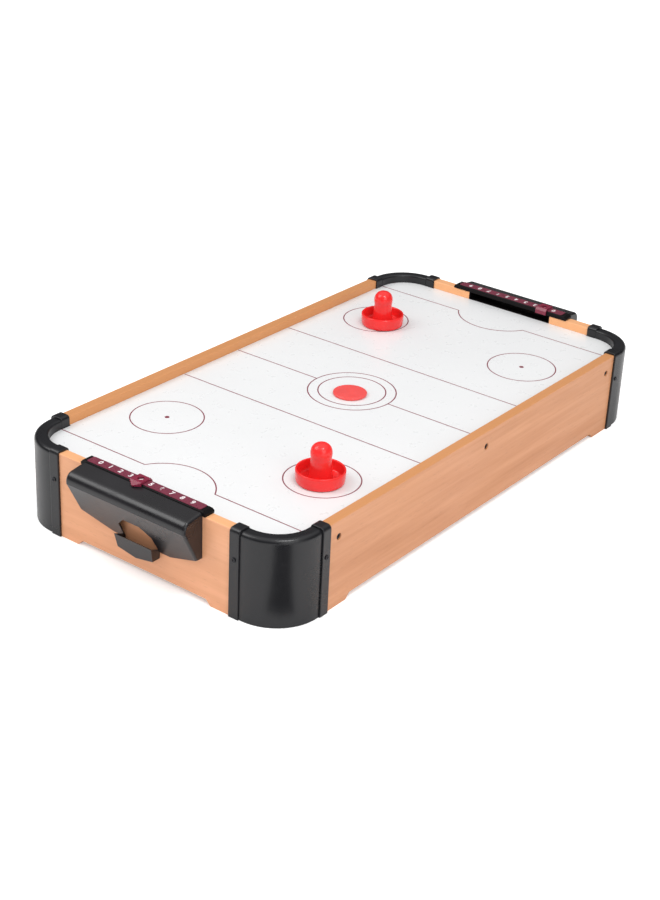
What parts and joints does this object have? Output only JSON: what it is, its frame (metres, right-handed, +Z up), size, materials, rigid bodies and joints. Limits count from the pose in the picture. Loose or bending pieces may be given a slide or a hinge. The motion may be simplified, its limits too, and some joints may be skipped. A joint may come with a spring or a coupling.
{
  "type": "tabletop air hockey table",
  "caption": "Low tabletop air hockey table with a wooden frame, round black corner caps, goal boxes, score clips, a battery fan, a puck and two strikers.",
  "frame": {"origin": "centre of the footprint, on the surface the table stands on", "axes": "+X along the table towards the right goal, +Y across it towards the back rail, +Z up"},
  "size_m": [0.6036, 0.3028, 0.1067],
  "materials": {
    "wood_laminate": "satin printed wood grain foil",
    "cap_plastic": "satin black moulding with a fine grain",
    "deck_laminate": "smooth white laminate with printed red lines",
    "raw_board": "plain brown fibreboard",
    "batten_wood": "sawn softwood",
    "goal_plastic": "satin black moulding",
    "bar_plastic": "dark moulding",
    "label_print": "dark red printed strip with pale marks",
    "clip_plastic": "dark red gloss",
    "striker_plastic": "bright red gloss",
    "puck_plastic": "red gloss",
    "black_screw": "blackened",
    "steel_screw": "zinc plated",
    "fan_plastic": "black moulding",
    "rotor_plastic": "pale grey moulding",
    "motor_can": "bright plated can",
    "shaft_steel": "ground",
    "case_plastic": "black moulding",
    "cell_jacket": "plain dark jacket",
    "contact_metal": "nickel plated",
    "switch_plastic": "black moulding",
    "rocker_plastic": "red gloss",
    "lead_red": "red insulation",
    "lead_black": "black insulation"
  },
  "bodies": {
    "table": {"side_rail_front": "wood_laminate", "side_rail_back": "wood_laminate", "end_rail_left": "wood_laminate", "end_rail_right": "wood_laminate", "corner_cap_front_left": "cap_plastic", "corner_cap_front_right": "cap_plastic", "corner_cap_back_left": "cap_plastic", "corner_cap_back_right": "cap_plastic", "deck": "deck_laminate", "bottom_board": "raw_board", "deck_cleat_front": "batten_wood", "deck_cleat_back": "batten_wood", "deck_cleat_left": "batten_wood", "deck_cleat_right": "batten_wood", "goal_box_left": "goal_plastic", "goal_box_right": "goal_plastic", "score_bar_left": "bar_plastic", "score_bar_right": "bar_plastic", "score_label_left": "label_print", "score_label_right": "label_print", "rail_screws": "black_screw", "cap_screws": "black_screw", "goal_box_screws": "steel_screw", "fan_screws": "steel_screw", "battery_case_screws": "steel_screw", "fan_shroud": "fan_plastic", "fan_grille": "fan_plastic", "fan_motor": "motor_can", "battery_case": "case_plastic", "battery_cells": "cell_jacket", "battery_contacts": "contact_metal", "switch_body": "switch_plastic", "lead_battery_switch": "lead_red", "lead_switch_motor": "lead_red", "lead_battery_motor": "lead_black"},
    "striker_left": {"striker_left": "striker_plastic"},
    "striker_right": {"striker_right": "striker_plastic"},
    "puck": {"puck": "puck_plastic"},
    "score_clip_left": {"score_clip_left": "clip_plastic"},
    "score_clip_right": {"score_clip_right": "clip_plastic"},
    "fan_rotor": {"fan_rotor": "rotor_plastic", "motor_shaft": "shaft_steel"},
    "switch_rocker": {"switch_rocker": "rocker_plastic"},
    "battery_door": {"battery_door": "case_plastic"}
  },
  "joints": [
    {"name": "striker_left_slide", "type": "slide", "parent": "table", "child": "striker_left", "axis": [1, 0, 0], "range_m": [-0.087, 0.137]},
    {"name": "striker_right_slide", "type": "slide", "parent": "table", "child": "striker_right", "axis": [1, 0, 0], "range_m": [-0.127, 0.097]},
    {"name": "puck_slide", "type": "slide", "parent": "table", "child": "puck", "axis": [1, 0, 0], "range_m": [-0.273, 0.286]},
    {"name": "score_clip_left_slide", "type": "slide", "parent": "table", "child": "score_clip_left", "axis": [0, 1, 0], "range_m": [-0.056, 0.0448]},
    {"name": "score_clip_right_slide", "type": "slide", "parent": "table", "child": "score_clip_right", "axis": [0, 1, 0], "range_m": [-0.0112, 0.0896]},
    {"name": "fan_spin", "type": "hinge", "parent": "table", "child": "fan_rotor", "pos_m": [-0.06, 0, 0.026], "axis": [0, 0, 1], "continuous": true},
    {"name": "switch_rock", "type": "hinge", "parent": "table", "child": "switch_rocker", "pos_m": [0.01, -0.06, 0.0235], "axis": [0, 1, 0], "range_deg": [-16, 0]},
    {"name": "battery_door_slide", "type": "slide", "parent": "table", "child": "battery_door", "axis": [1, 0, 0], "range_m": [0, 0.055]}
  ]
}
